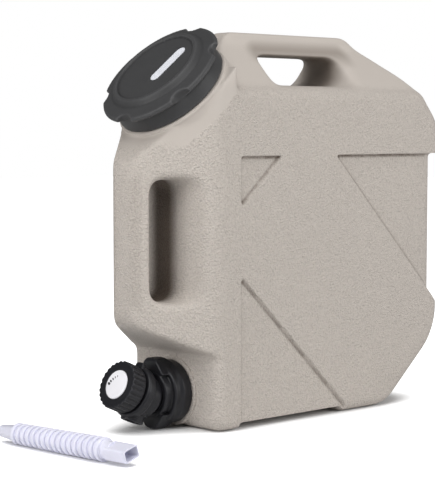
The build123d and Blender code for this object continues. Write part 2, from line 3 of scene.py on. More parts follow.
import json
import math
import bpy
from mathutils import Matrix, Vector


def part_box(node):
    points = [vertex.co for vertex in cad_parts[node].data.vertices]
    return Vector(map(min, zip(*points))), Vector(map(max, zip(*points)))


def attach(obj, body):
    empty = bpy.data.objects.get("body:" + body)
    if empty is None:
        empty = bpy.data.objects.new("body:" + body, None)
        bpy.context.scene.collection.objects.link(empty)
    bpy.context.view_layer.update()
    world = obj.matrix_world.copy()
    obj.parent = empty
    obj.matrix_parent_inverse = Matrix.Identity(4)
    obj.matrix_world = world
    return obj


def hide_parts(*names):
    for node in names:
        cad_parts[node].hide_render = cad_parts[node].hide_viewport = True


bl_info = {
    "name": "Camping water can",
    "version": (1, 0, 0),
    "blender": (4, 5, 0),
    "location": "View3D > Sidebar > Can",
    "description": "Builds the visible pieces and finishes of a camping water can with a tap",
    "category": "Object",
}

import bmesh
import bpy
import numpy as np
from bpy.props import FloatProperty, FloatVectorProperty, IntProperty, PointerProperty
from mathutils import Matrix, Vector

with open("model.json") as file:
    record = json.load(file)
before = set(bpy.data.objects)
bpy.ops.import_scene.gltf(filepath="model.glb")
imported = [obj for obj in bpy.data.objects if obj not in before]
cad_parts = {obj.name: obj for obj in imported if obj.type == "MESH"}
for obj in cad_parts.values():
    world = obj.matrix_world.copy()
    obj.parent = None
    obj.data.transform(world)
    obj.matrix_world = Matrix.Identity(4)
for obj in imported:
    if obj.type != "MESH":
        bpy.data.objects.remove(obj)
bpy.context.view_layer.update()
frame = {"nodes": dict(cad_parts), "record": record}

MM = 0.001


# Places from the frame

# Where the spout's first ring rests on the ground, in pitches past the plain neck
FIRST_REST = 0.7


def joint_place(name):
    """Matrix whose +Z is a joint's axis and whose +X lies in the can's middle plane."""
    joint = next(j for j in frame["record"]["behaviour"]["joints"] if j["name"] == name)
    z = Vector(joint["axis"]).normalized()
    y = Vector((0, 1, 0))
    x = y.cross(z).normalized()
    place = Matrix((x, z.cross(x), z)).transposed().to_4x4()
    place.translation = Vector(joint["pos_m"])
    return place


def spout_place():
    """Matrix whose +Z runs along the loose spout, from its square socket to its tip."""
    sizes = scene_sizes("spout")
    fall = (sizes.crest_radius - sizes.tip_crest_radius) / ((sizes.rings - 1) * sizes.pitch)
    last = sizes.socket_length + sizes.neck_length + FIRST_REST * sizes.pitch
    start = Vector((sizes.start_x, sizes.start_y, sizes.crest_radius + fall * last))
    place = Matrix.Translation(start) @ Matrix.Rotation(math.radians(sizes.heading), 4, "Z")
    return place @ Matrix.Rotation(math.radians(90) + math.atan(fall), 4, "Y")


def scene_sizes(name):
    """One group of the sizes in the sidebar."""
    return getattr(bpy.context.scene, f"can_{name}")


# Mesh tools

# Share of the way to its neighbours' mean that a vertex moves in one smoothing round
ROUND_SHARE = 0.5
# Fold, in mesh sizes, that counts as a full edge or hollow on a moulded fitting, for its painted highlight
# and shade
FULL_FOLD = 0.12


def added(name, data):
    """A new object in the scene."""
    item = bpy.data.objects.new(name, data)
    bpy.context.scene.collection.objects.link(item)
    return item


def shown(name, mesh, material, body):
    """Adds a finished mesh as a piece that rides on a body."""
    mesh.name = name
    mesh.materials.clear()
    mesh.materials.append(material)
    piece = added(name, mesh)
    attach(piece, body)
    return piece


def finish_node(node, material):
    """Gives a carried-over CAD node its material."""
    target = frame["nodes"][node]
    if not target.material_slots:
        target.data.materials.append(material)
    for slot in target.material_slots:
        slot.material = material


def merged_copy(node):
    """A bmesh of a CAD node's mesh with its loose triangles joined."""
    form = bmesh.new()
    form.from_mesh(frame["nodes"][node].data)
    bmesh.ops.remove_doubles(form, verts=form.verts, dist=0.002 * MM)
    return form


def to_mesh(form, name):
    """The mesh of a bmesh, which is freed."""
    mesh = bpy.data.meshes.new(name)
    form.to_mesh(mesh)
    form.free()
    return mesh


def evaluated(holder):
    """The plain mesh of an object with modifiers, which is removed."""
    graph = bpy.context.evaluated_depsgraph_get()
    result = bpy.data.meshes.new_from_object(holder.evaluated_get(graph))
    bpy.data.objects.remove(holder)
    return result


def finished(mesh, modifiers):
    """The mesh after a list of (type, settings) modifiers, as a new plain mesh."""
    holder = added("holder", mesh)
    for kind, settings in modifiers:
        modifier = holder.modifiers.new(kind.lower(), kind)
        for key, value in settings.items():
            setattr(modifier, key, value)
    return evaluated(holder)


def combined(mesh, other, operation):
    """Union or difference of two closed meshes."""
    tool = added("tool", other)
    settings = {"object": tool, "operation": operation, "solver": "MANIFOLD"}
    result = finished(mesh, [("BOOLEAN", settings)])
    bpy.data.objects.remove(tool)
    return result


def remeshed(mesh, voxel):
    """A closed form with even faces of one size."""
    return finished(mesh, [("REMESH", {"mode": "VOXEL", "voxel_size": voxel, "adaptivity": 0.0})])


def corners(mesh):
    """The mesh's vertices as an array of rows."""
    flat = np.empty(len(mesh.vertices) * 3)
    mesh.vertices.foreach_get("co", flat)
    return flat.reshape(-1, 3)


def edge_ends(mesh):
    """The vertex numbers at both ends of every edge, as two rows."""
    pairs = np.empty(len(mesh.edges) * 2, dtype=np.int64)
    mesh.edges.foreach_get("vertices", pairs)
    return pairs.reshape(-1, 2).T


def neighbour_mean(rows, ends):
    """For every vertex the mean of its neighbours' rows."""
    first, second = ends
    count = len(rows)
    degree = np.bincount(first, minlength=count) + np.bincount(second, minlength=count)
    total = np.column_stack([
        np.bincount(first, column[second], minlength=count)
        + np.bincount(second, column[first], minlength=count)
        for column in rows.T
    ])
    return total / np.maximum(degree, 1)[:, None]


def relaxed(mesh, rounds, weight=1.0):
    """Evens out a remeshed form, so that its edges turn into soft roundings.

    The weight is one number, or one for each vertex: the lower, the crisper it stays there.
    """
    points = corners(mesh)
    ends = edge_ends(mesh)
    share = (ROUND_SHARE * np.broadcast_to(weight, (len(points),)))[:, None]
    for _ in range(rounds):
        points = points + share * (neighbour_mean(points, ends) - points)
    mesh.vertices.foreach_set("co", points.ravel())
    mesh.update()
    return mesh


def add_mask(mesh, name, values):
    """Stores one value for each vertex, for a material to read."""
    layer = mesh.attributes.new(name, "FLOAT", "POINT")
    layer.data.foreach_set("value", values.astype(np.float32))


def folds(mesh, voxel):
    """How sharply the surface folds at each vertex: over 0 in hollows, under 0 on edges."""
    points = corners(mesh)
    normals = np.empty(len(points) * 3)
    mesh.vertices.foreach_get("normal", normals)
    lift = neighbour_mean(points, edge_ends(mesh)) - points
    return (lift * normals.reshape(-1, 3)).sum(axis=1) / voxel


def softened(node, voxel, rounds, extra=()):
    """A closed CAD node, with extra closed meshes fused on, as a form with rounded edges."""
    mesh = joined([to_mesh(merged_copy(node), "node"), *extra], node + "_form")
    mesh = relaxed(remeshed(mesh, voxel), rounds)
    # The fold mask drives the painted edge highlight and fold shade of the moulded plastics
    add_mask(mesh, "fold", np.clip(folds(mesh, voxel) / FULL_FOLD, -1, 1))
    mesh.shade_smooth()
    return mesh


def lathe(points, steps=96):
    """A closed solid of revolution about Z, from a closed list of (radius, height) points."""
    form = bmesh.new()
    rings = []
    for step in range(steps):
        turn = 2 * math.pi * step / steps
        rings.append([form.verts.new((r * math.cos(turn), r * math.sin(turn), h)) for r, h in points])
    for step in range(steps):
        here, there = rings[step], rings[(step + 1) % steps]
        for index in range(len(points)):
            after = (index + 1) % len(points)
            form.faces.new((here[index], there[index], there[after], here[after]))
    bmesh.ops.remove_doubles(form, verts=form.verts, dist=0.001 * MM)
    bmesh.ops.recalc_face_normals(form, faces=form.faces)
    return to_mesh(form, "lathe")


def rod(radius, low, high, steps=96):
    """A closed cylinder about Z."""
    form = bmesh.new()
    bmesh.ops.create_cone(
        form, cap_ends=True, segments=steps, radius1=radius, radius2=radius, depth=high - low
    )
    bmesh.ops.translate(form, verts=form.verts, vec=(0, 0, (low + high) / 2))
    return to_mesh(form, "rod")


def placed(mesh, place):
    """The mesh, moved and turned by a matrix."""
    mesh.transform(place)
    return mesh


def joined(meshes, name):
    """Several meshes as one."""
    form = bmesh.new()
    for mesh in meshes:
        form.from_mesh(mesh)
    return to_mesh(form, name)


# Node trees

# The colour sockets of a mix node: both inputs and the result
MIX_FIRST, MIX_SECOND, MIX_RESULT = 6, 7, 2
# Specks of fine noise for each pebble of the grain
SPECKS = 1.6
# Share of its depth by which a spout ring's section is rounded
RING_ROUNDING = 0.42


def add_node(tree, kind, links=None, **settings):
    """A node with its settings, and with each named input linked or set."""
    node = tree.nodes.new(kind)
    for key, value in settings.items():
        setattr(node, key, value)
    for key, value in (links or {}).items():
        socket = node.inputs[key]
        if isinstance(value, bpy.types.NodeSocket):
            tree.links.new(value, socket)
        else:
            socket.default_value = value
    return node


def maths(tree, operation, first, second):
    """The result of a maths node on two numbers or sockets."""
    return add_node(tree, "ShaderNodeMath", {0: first, 1: second}, operation=operation).outputs[0]


def mapped(tree, value, low, high, start=0.0, end=1.0):
    """A value moved from the range start to end into the range low to high."""
    return add_node(tree, "ShaderNodeMapRange", {
        "Value": value, "From Min": start, "From Max": end, "To Min": low, "To Max": high,
    }).outputs["Result"]


def noise(tree, place, scale, detail=2.0):
    """Soft noise over the object."""
    node = add_node(tree, "ShaderNodeTexNoise", {"Vector": place, "Scale": scale, "Detail": detail})
    return node.outputs["Fac"]


def mask_value(tree, name):
    """What add_mask stored under a name."""
    node = add_node(tree, "ShaderNodeAttribute", attribute_name=name, attribute_type="GEOMETRY")
    return node.outputs["Fac"]


def mixed(tree, share, first, second):
    """A colour between two colours."""
    node = add_node(tree, "ShaderNodeMix", {
        "Factor": share, MIX_FIRST: (*first, 1), MIX_SECOND: (*second, 1),
    }, data_type="RGBA")
    return node.outputs[MIX_RESULT]


def shader(name, colour, rough, specular=0.5):
    """A material with a principled shader, and its tree, shader and object coordinates."""
    material = bpy.data.materials.new(name)
    material.use_nodes = True
    tree = material.node_tree
    surface = tree.nodes["Principled BSDF"]
    surface.inputs["Base Color"].default_value = (*colour, 1)
    surface.inputs["Roughness"].default_value = rough
    surface.inputs["Specular IOR Level"].default_value = specular
    place = add_node(tree, "ShaderNodeTexCoord").outputs["Object"]
    return material, tree, surface, place


def dress(tree, surface, colour, shade, height, strength, depth):
    """Links a shaded colour and a bump to a shader."""
    tint = add_node(tree, "ShaderNodeVectorMath", {0: colour, "Scale": shade}, operation="SCALE")
    tree.links.new(tint.outputs[0], surface.inputs["Base Color"])
    bump = add_node(tree, "ShaderNodeBump", {
        "Height": height, "Strength": strength, "Distance": depth,
    })
    tree.links.new(bump.outputs["Normal"], surface.inputs["Normal"])


def tank_plastic():
    """Matte moulded plastic with pebble grain, and painted shade in hollows where the masks ask for it."""
    sizes = scene_sizes("tank")
    colour = tuple(sizes.colour)
    material, tree, surface, place = shader("tank_plastic", colour, rough=0.5, specular=0.3)
    cells = add_node(
        tree, "ShaderNodeTexVoronoi",
        {"Vector": place, "Scale": 1 / sizes.grain_pitch, "Smoothness": 0.5}, feature="SMOOTH_F1",
    )
    fine = noise(tree, place, scale=SPECKS / sizes.grain_pitch)
    height = maths(tree, "SUBTRACT", fine, cells.outputs["Distance"])
    masked = maths(tree, "MULTIPLY", height, mask_value(tree, "grain"))
    shade = sizes.grain_shade
    tone = mapped(tree, masked, 1 - shade, 1 + shade, start=-0.5, end=0.5)
    patch = mapped(tree, noise(tree, place, scale=9.0, detail=3.0), low=0.97, high=1.03)
    both = maths(tree, "MULTIPLY", tone, patch)
    # Painted shade: folds and the insides of the hand openings are mixed towards a darker, browner colour
    deep = [channel * (1 - sizes.painted_shade_strength) for channel in sizes.painted_shade_tint]
    colour_with_painted_shade = mixed(tree, mask_value(tree, "hollow"), colour, deep)
    dress(tree, surface, colour_with_painted_shade, both, masked, strength=1.0, depth=sizes.grain_depth)
    return material


def moulded_plastic(name, colour, rough, specular=0.5, painted_edge_light=0.0):
    """Injection-moulded plastic with fine mould texture, painted edge highlights and painted fold shade."""
    material, tree, surface, place = shader(name, colour, rough, specular)
    patch = mapped(tree, noise(tree, place, scale=40.0, detail=3.0), low=0.95, high=1.15)
    fold = mask_value(tree, "fold")
    # Painted highlight on outer edges and painted shade in folds, read from the fold mask
    edge = mapped(tree, fold, 1 + painted_edge_light, 1 - painted_edge_light / 2, start=-1.0)
    both = maths(tree, "MULTIPLY", patch, edge)
    fine = noise(tree, place, scale=1600.0)
    dress(tree, surface, colour, both, fine, strength=0.6, depth=0.00002)
    return material


def milky_plastic(name, colour):
    """Soft milky plastic that lets a little light through."""
    material = moulded_plastic(name, colour, rough=0.38, specular=0.4)
    surface = material.node_tree.nodes["Principled BSDF"]
    surface.inputs["Subsurface Weight"].default_value = 0.25
    surface.inputs["Subsurface Radius"].default_value = (0.9, 0.95, 1.0)
    surface.inputs["Subsurface Scale"].default_value = 0.003
    return material


def steel():
    """Bright steel for the knob's screw."""
    material = moulded_plastic("screw_steel", (0.55, 0.55, 0.55), rough=0.3)
    material.node_tree.nodes["Principled BSDF"].inputs["Metallic"].default_value = 1.0
    return material


def size_tree(name, sizes):
    """A geometry tree whose group inputs are the given named sizes."""
    tree = bpy.data.node_groups.new(name, "GeometryNodeTree")
    for label, value in sizes.items():
        kind = "NodeSocketInt" if isinstance(value, int) else "NodeSocketFloat"
        tree.interface.new_socket(label, in_out="INPUT", socket_type=kind).default_value = value
    tree.interface.new_socket("Geometry", in_out="OUTPUT", socket_type="NodeSocketGeometry")
    return tree, tree.nodes.new("NodeGroupInput").outputs


def end_tree(tree, geometry, material):
    """Closes a geometry tree with realised instances and a material."""
    real = add_node(tree, "GeometryNodeRealizeInstances", {"Geometry": geometry})
    painted = add_node(
        tree, "GeometryNodeSetMaterial", {"Geometry": real.outputs[0], "Material": material}
    )
    add_node(tree, "NodeGroupOutput", {"Geometry": painted.outputs[0]})


def grown(tree, sizes):
    """The plain mesh that a geometry tree makes from the given sizes."""
    holder = added("holder", bpy.data.meshes.new("holder"))
    modifier = holder.modifiers.new("tree", "NODES")
    modifier.node_group = tree
    for item in tree.interface.items_tree:
        if item.in_out == "INPUT" and item.name in sizes:
            modifier[item.identifier] = sizes[item.name]
    return evaluated(holder)


def thread_tree(material):
    """One rounded thread ridge, wound up a cylinder about Z."""
    sizes = {"Radius": 0.048, "Pitch": 0.004, "Turns": 2.0, "Ridge": 0.0014}
    tree, given = size_tree("thread_ridge", sizes)
    height = maths(tree, "MULTIPLY", given["Pitch"], given["Turns"])
    spiral = add_node(tree, "GeometryNodeCurveSpiral", {
        "Resolution": 64, "Rotations": given["Turns"], "Start Radius": given["Radius"],
        "End Radius": given["Radius"], "Height": height,
    })
    ridge = add_node(
        tree, "GeometryNodeCurvePrimitiveCircle", {"Resolution": 10, "Radius": given["Ridge"]},
        mode="RADIUS",
    )
    wound = add_node(tree, "GeometryNodeCurveToMesh", {
        "Curve": spiral.outputs[0], "Profile Curve": ridge.outputs[0], "Fill Caps": True,
    })
    end_tree(tree, wound.outputs[0], material)
    return tree


def rib_tree(material):
    """A ring of equal upright ribs about Z, each with an elliptic section."""
    sizes = {"Count": 26, "Ring": 0.0193, "Depth": 0.0024, "Width": 0.0024, "Height": 0.0136}
    tree, given = size_tree("knob_ribs", sizes)
    post = add_node(tree, "GeometryNodeMeshCylinder", {
        "Vertices": 32, "Radius": 1.0, "Depth": given["Height"],
    })
    section = add_node(tree, "ShaderNodeCombineXYZ", {
        "X": given["Depth"], "Y": given["Width"], "Z": 1.0,
    })
    rib = add_node(tree, "GeometryNodeTransform", {
        "Geometry": post.outputs["Mesh"], "Scale": section.outputs[0],
    })
    ring = add_node(tree, "GeometryNodeMeshCircle", {
        "Vertices": given["Count"], "Radius": given["Ring"],
    })
    step = maths(tree, "DIVIDE", math.tau, given["Count"])
    index = add_node(tree, "GeometryNodeInputIndex")
    angle = maths(tree, "MULTIPLY", index.outputs[0], step)
    turn = add_node(tree, "ShaderNodeCombineXYZ", {"Z": angle})
    ribs = add_node(tree, "GeometryNodeInstanceOnPoints", {
        "Points": ring.outputs[0], "Instance": rib.outputs[0], "Rotation": turn.outputs[0],
    })
    end_tree(tree, ribs.outputs[0], material)
    return tree


def ring_tree(material):
    """A row of rounded rings along Z that shrink evenly from the first to the last."""
    sizes = {"Count": 17, "Pitch": 0.0065, "Radius": 0.0086, "Depth": 0.0029, "Width": 0.004,
             "Taper": 0.1}
    tree, given = size_tree("spout_rings", sizes)
    circle = add_node(
        tree, "GeometryNodeCurvePrimitiveCircle", {"Resolution": 72, "Radius": given["Radius"]},
        mode="RADIUS",
    )
    section = add_node(
        tree, "GeometryNodeCurvePrimitiveQuadrilateral",
        {"Width": given["Depth"], "Height": given["Width"]}, mode="RECTANGLE",
    )
    rounding = maths(tree, "MULTIPLY", given["Depth"], RING_ROUNDING)
    rounded = add_node(
        tree, "GeometryNodeFilletCurve",
        {"Curve": section.outputs[0], "Count": 4, "Radius": rounding}, mode="POLY",
    )
    ring = add_node(tree, "GeometryNodeCurveToMesh", {
        "Curve": circle.outputs[0], "Profile Curve": rounded.outputs[0],
    })
    step = add_node(tree, "ShaderNodeCombineXYZ", {"Z": given["Pitch"]})
    row = add_node(
        tree, "GeometryNodeMeshLine", {"Count": given["Count"], "Offset": step.outputs[0]},
        mode="OFFSET",
    )
    index = add_node(tree, "GeometryNodeInputIndex")
    last = maths(tree, "SUBTRACT", given["Count"], 1.0)
    smallest = maths(tree, "SUBTRACT", 1.0, given["Taper"])
    slimmer = mapped(tree, index.outputs[0], 1.0, smallest, end=last)
    spread = add_node(tree, "ShaderNodeCombineXYZ", {"X": slimmer, "Y": slimmer, "Z": 1.0})
    rings = add_node(tree, "GeometryNodeInstanceOnPoints", {
        "Points": row.outputs[0], "Instance": ring.outputs[0], "Scale": spread.outputs[0],
    })
    end_tree(tree, rings.outputs[0], material)
    return tree


# Sizes in the sidebar

def count(name, description, default, **limits):
    """A whole number that the sidebar shows."""
    return IntProperty(name=name, description=description, default=default, **limits)


def number(name, description, default, **limits):
    """A number that the sidebar shows."""
    return FloatProperty(name=name, description=description, default=default, **limits)


def length(name, description, default, precision=4, **limits):
    """A length in metres that the sidebar shows."""
    return number(name, description, default, subtype="DISTANCE", precision=precision, **limits)


def paint(name, description, default):
    """A colour that the sidebar shows."""
    return FloatVectorProperty(
        name=name, description=description, default=default, size=3, subtype="COLOR",
        min=0.0, max=1.0,
    )


class TankSizes(bpy.types.PropertyGroup):
    voxel: length("Mesh size", "Edge length of the tank's remeshed faces", 0.0015, min=0.001)
    thinning: number("Thinning", "Share of the remeshed faces that is kept", 0.42, min=0.1, max=1.0)
    rounds: count("Softening", "Smoothing rounds that turn edges into moulded roundings", 18, min=0)
    rim_rounds: count("Rim softening", "Further rounds for the rims of the two hand openings", 45, min=0)
    crispness: number(
        "Panel smoothing", "Share of the smoothing that the sunk panels' edges get", 0.06, min=0.0, max=1.0
    )
    panel_top: length("Panel top", "Height of the sunk panels' upper edges over the ground", 0.240)
    panel_face: length(
        "Panel face", "Distance of the sunk panels' floors from the middle plane", 0.054
    )
    grain_pitch: length(
        "Grain pitch", "Distance between the pebbles of the mould grain", 0.0018, min=0.0005
    )
    grain_depth: length(
        "Grain depth", "Height of the pebbles of the mould grain", 0.0010, min=0.0, precision=5
    )
    grain_shade: number(
        "Grain shade", "How much the grain's hollows are darker than its tops", 0.13, min=0.0, max=1.0
    )
    # How strong the painted shade in folds and deep in the hand openings is
    painted_shade_strength: number(
        "Hollow shade", "How much folds and deep hollows are darker than flat faces", 0.75, min=0.0, max=1.0
    )
    # Colour that the painted shade in folds and hand openings leans to, before it is darkened
    painted_shade_tint: paint(
        "Hollow colour", "Tint of the plastic in deep hollows, before their shade", (0.522, 0.40, 0.31)
    )
    neck_radius: length("Neck radius", "Outside radius of the threaded neck", 0.048)
    neck_lip: length("Neck lip", "Radius of the ring that shows under the cap's skirt", 0.0547)
    stub_lip: length("Stub lip", "Radius of the ring that shows behind the tap's collar", 0.0307)
    neck_bore: length("Neck bore", "Radius of the opening through the neck", 0.043)
    neck_height: length("Neck height", "Height of the neck over the cap's seat", 0.0175)
    stub_radius: length("Stub radius", "Outside radius of the tap's threaded stub", 0.0236)
    stub_bore: length("Stub bore", "Radius of the hole through the tap's stub", 0.015)
    stub_length: length("Stub length", "Length of the stub from the tank's front face", 0.013)
    colour: paint("Colour", "Colour of the tank's plastic", (0.522, 0.474, 0.430))


class FittingSizes(bpy.types.PropertyGroup):
    cap_voxel: length("Cap mesh size", "Edge length of the cap's remeshed faces", 0.0009, min=0.0004)
    tap_voxel: length("Tap mesh size", "Edge length of the tap's remeshed faces", 0.0006, min=0.0003)
    rounds: count("Softening", "Smoothing rounds for the moulded fittings", 2, min=0)
    cap_colour: paint("Cap colour", "Colour of the screw cap", (0.041, 0.041, 0.042))
    tap_colour: paint("Tap colour", "Colour of the tap's black mouldings", (0.010, 0.010, 0.012))
    mark_length: length("Mark length", "Length of the plain white bar on the cap's disc", 0.041)
    mark_width: length("Mark width", "Width of the plain white bar on the cap's disc", 0.0105)
    mark_turn: number(
        "Mark turn", "Turn of the white bar from the slope's line, in degrees", -14.4, precision=1
    )
    lid_height: length("Lid height", "Height of the cap's sunk disc over the skirt's edge", 0.0257)
    dial_height: length("Dial height", "Height of the dial's face along the knob's axis", 0.0300)
    ribs: count("Knob ribs", "Number of ribs round the knob", 26, min=3)
    rib_ring: length("Rib ring", "Distance of the knob ribs' middles from the knob's axis", 0.0193)
    rib_height: length("Rib height", "Length of the knob ribs along the knob's axis", 0.0136)
    rib_middle: length("Rib middle", "Place of the knob ribs' middles along the knob's axis", 0.0224)
    dashes: count("Dial dashes", "Number of dashes in the flow arc on the dial", 5, min=1)


class SpoutSizes(bpy.types.PropertyGroup):
    heading: number("Heading", "Turn of the spout on the ground, from +X towards +Y", 94.0, precision=1)
    roll: number(
        "Roll", "Turn of the square socket about the spout's own axis, in degrees", 17.0, precision=1
    )
    start_x: length("Start X", "Place of the socket's end along X", -0.1574)
    start_y: length("Start Y", "Place of the socket's end along Y", -0.1116)
    rings: count("Rings", "Number of corrugations", 17, min=2)
    pitch: length("Pitch", "Distance from ring to ring", 0.00647, precision=5)
    crest_radius: length("Crest radius", "Radius over the first ring", 0.010)
    tip_crest_radius: length("Tip crest radius", "Radius over the last ring", 0.0091)
    groove: length("Groove", "Depth of the grooves between the rings", 0.0018)
    wall: length("Wall", "Thickness of the spout's wall", 0.0011)
    neck_length: length("Neck length", "Length of the plain neck behind the first ring", 0.0046)
    neck_radius: length("Neck radius", "Radius of the plain neck", 0.0074)
    cuff_length: length("Cuff length", "Length of the tapered cuff at the tip", 0.0196)
    cuff_radius: length("Cuff radius", "Radius of the cuff beside the last ring", 0.007)
    tip_radius: length("Tip radius", "Radius of the cuff at the tip", 0.0052)
    socket_length: length("Socket length", "Length of the square socket", 0.0236)
    socket_width: length("Socket width", "Width of the square socket", 0.0155)
    socket_height: length("Socket height", "Height of the square socket", 0.0108)
    socket_round: length("Socket rounding", "Radius of the square socket's long edges", 0.0016)
    colour: paint("Colour", "Colour of the spout's plastic", (0.77, 0.77, 0.90))


class StageSizes(bpy.types.PropertyGroup):
    key_power: number(
        "Key light", "Power of the large soft light over the can", 25.0, min=0.0, subtype="POWER"
    )
    side_power: number(
        "Side light", "Power of the soft light on the broad side", 22.5, min=0.0, subtype="POWER"
    )
    front_power: number(
        "Front light", "Power of the soft light before the nose", 15.5, min=0.0, subtype="POWER"
    )
    ambient: number("Ambient", "Strength of the light that comes from all round", 0.12, min=0.0)
    floor_glow: number("Floor glow", "Glow that the camera alone sees right beside the can", 0.0, min=0.0)
    glow_reach: length(
        "Glow reach", "Distance from the can at which the floor glows pure white", 0.05, min=0.0
    )


SIZE_GROUPS = {
    "tank": TankSizes, "fittings": FittingSizes, "spout": SpoutSizes, "stage": StageSizes,
}


# The tank

# Heights over their seats at which the CAD's neck and stub are cut off
NECK_CUT = MM
STUB_CUT = 5 * MM
# For each hand opening the strength of its painted shade, and how far from the middle plane that starts
OPENING_SHADE = {"grip_gap": (1.0, 0.019), "carry_handle_gap": (0.70, 0.030)}
# How much longer an opening is taken at the back, where its wall flares out
OPENING_FLARE = 0.010
# Share of that distance over which the painted shade fades in, and its reach and fade round the opening
SHADE_DEPTH = 0.6
SHADE_REACH = 18 * MM
SHADE_FADE = 10 * MM
# Fold, in mesh sizes, at which the painted shade in folds starts, and how much more makes it full
HOLLOW_FOLD = 0.05
HOLLOW_FOLD_SPAN = 0.14
# The openings' rounded rims: reach and fade, and the strip at the middle plane without them
RIM_REACH = 15 * MM
RIM_FADE = 8 * MM
MIDDLE_STRIP = 3 * MM
MIDDLE_FADE = 6 * MM
# Where the crisp stretch round the sunk panels ends
PANEL_OVER = 3 * MM
PANEL_INSIDE = 1.5 * MM
PANEL_BEHIND_NOSE = 8 * MM
PANEL_BEFORE_BACK = 12 * MM
REAR_PANEL_LOW = 0.075
# The rings round neck and stub that stay crisp: radius, place along the axis, smoothing
NECK_RING = 0.058
NECK_RING_LOW = -0.012
NECK_SMOOTHING = 0.15
STUB_RING = 0.033
STUB_RING_DEPTH = 4 * MM
STUB_SMOOTHING = 0.1
# Distances from the neck and the tap within which folds get no painted shade
NECK_CLEAR = 0.062
NECK_CLEAR_LOW = -0.014
TAP_CLEAR = 0.036
# The grain's fades round the neck and below the carry handle, and where both lie
GRAIN_NECK_FADE = 0.006
GRAIN_NECK_LOW = -0.02
GRAIN_TOP = 0.306
GRAIN_TOP_FADE = 0.012
# Share of the outside's thinning that the hidden inside gets
INNER_THINNING = 0.3
# The lips round neck and stub: low and high ends over the seats
NECK_LIP = (-3.5 * MM, -0.9 * MM)
STUB_LIP = (-3 * MM, 2.1 * MM)
# Roots of the new neck and stub under their seats, and the chamfers at their mouths
NECK_ROOT = -7 * MM
STUB_ROOT = -3 * MM
NECK_LEAD = 0.8 * MM
STUB_LEAD = 0.6 * MM
# What the bores' cut takes from the tubes, and from where to where it runs
BORE_STOCK = 0.3 * MM
BORE_CUT = (-0.012, 0.03)
# Pitch, turns and ridge radius of each thread, and where both start over the seats
NECK_THREAD = (0.004, 2.2, 0.0005)
STUB_THREAD = (0.0025, 2.6, 0.0003)
THREAD_START = 4.5 * MM
# Angles in degrees over which an edge of the tank or the spout shows sharp
TANK_SHARP = 50
SPOUT_SHARP = 35


def split_shells():
    """The CAD tank's outside and inside as two closed forms without neck and stub."""
    form = merged_copy("tank")
    neck = joint_place("cap_turn").inverted()
    tap = joint_place("collar_turn").inverted()
    sizes = scene_sizes("tank")

    def inside_fitting(vert):
        up = neck @ vert.co
        out = tap @ vert.co
        on_neck = math.hypot(up.x, up.y) < sizes.neck_radius + MM and up.z > NECK_CUT
        on_stub = math.hypot(out.x, out.y) < sizes.stub_radius + MM and out.z > STUB_CUT
        return on_neck or on_stub

    gone = [vert for vert in form.verts if inside_fitting(vert)]
    bmesh.ops.delete(form, geom=gone, context="VERTS")
    parts = []
    left = set(form.verts)
    while left:
        seed = left.pop()
        island, queue = {seed}, [seed]
        while queue:
            for edge in queue.pop().link_edges:
                for vert in edge.verts:
                    if vert not in island:
                        island.add(vert)
                        queue.append(vert)
        left -= island
        parts.append(island)
    parts.sort(key=lambda island: max(v.co.z for v in island) - min(v.co.z for v in island))
    inside, outside = parts[-2:]
    form.verts.index_update()
    meshes = []
    for keep in (outside, inside):
        copy = form.copy()
        copy.verts.ensure_lookup_table()
        drop = {v.index for v in form.verts} - {v.index for v in keep}
        bmesh.ops.delete(copy, geom=[copy.verts[i] for i in drop], context="VERTS")
        border = [edge for edge in copy.edges if edge.is_boundary]
        bmesh.ops.holes_fill(copy, edges=border, sides=0)
        bmesh.ops.triangulate(copy, faces=copy.faces)
        bmesh.ops.recalc_face_normals(copy, faces=copy.faces)
        meshes.append(to_mesh(copy, "shell"))
    form.free()
    return meshes


def threaded_tube(outer, bore, low, high, lead):
    """A closed tube about Z with a chamfered mouth."""
    return lathe([
        (bore, low), (outer, low), (outer, high - lead), (outer - lead, high), (bore, high),
    ])


def neck_distance(points):
    """Distance from the neck's axis and height along it, for rows of points."""
    neck = joint_place("cap_turn").inverted()
    turned = points @ np.array(neck.to_3x3()).T + np.array(neck.translation)
    return np.hypot(turned[:, 0], turned[:, 1]), turned[:, 2]


def beside_opening(points, name):
    """Distance of each point from a hand opening of the record, seen from the side."""
    openings = frame["record"]["physics"]["openings"]
    low, high = np.array(next(item["box_m"] for item in openings if item["name"] == name))
    high[0] += OPENING_FLARE
    past = np.maximum(np.maximum(low - points, points - high), 0)
    return np.hypot(past[:, 0], past[:, 2])


def frame_depth():
    """Where the tank's flat front face and its back lie along X."""
    return joint_place("collar_turn").translation.x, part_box("tank")[1][0]


def rim_weight(points):
    """Smoothing for the wide roundings where the hand openings meet the outside."""
    near = np.minimum(*(beside_opening(points, name) for name in OPENING_SHADE))
    off_middle = np.clip((np.abs(points[:, 1]) - MIDDLE_STRIP) / MIDDLE_FADE, 0, 1)
    return np.clip((RIM_REACH - near) / RIM_FADE, 0, 1) * off_middle


def smoothing_weight(points):
    """Full smoothing for the moulded edges, little at the sunk panels, the neck and the stub."""
    sizes = scene_sizes("tank")
    weight = np.ones(len(points))
    across, height = np.abs(points[:, 1]), points[:, 2]
    front, back = frame_depth()
    below = height < sizes.panel_top + PANEL_OVER
    on_side = across > sizes.panel_face - PANEL_INSIDE
    on_side &= points[:, 0] > front + PANEL_BEHIND_NOSE
    on_back = (points[:, 0] > back - PANEL_BEFORE_BACK) & (height > REAR_PANEL_LOW)
    weight[below & (on_side | on_back)] = sizes.crispness
    off_axis, along = neck_distance(points)
    weight[(off_axis < NECK_RING) & (along > NECK_RING_LOW)] = NECK_SMOOTHING
    tap = joint_place("collar_turn").translation
    off_tap = np.hypot(points[:, 1], height - tap.z)
    weight[(off_tap < STUB_RING) & (points[:, 0] < tap.x + STUB_RING_DEPTH)] = STUB_SMOOTHING
    return weight


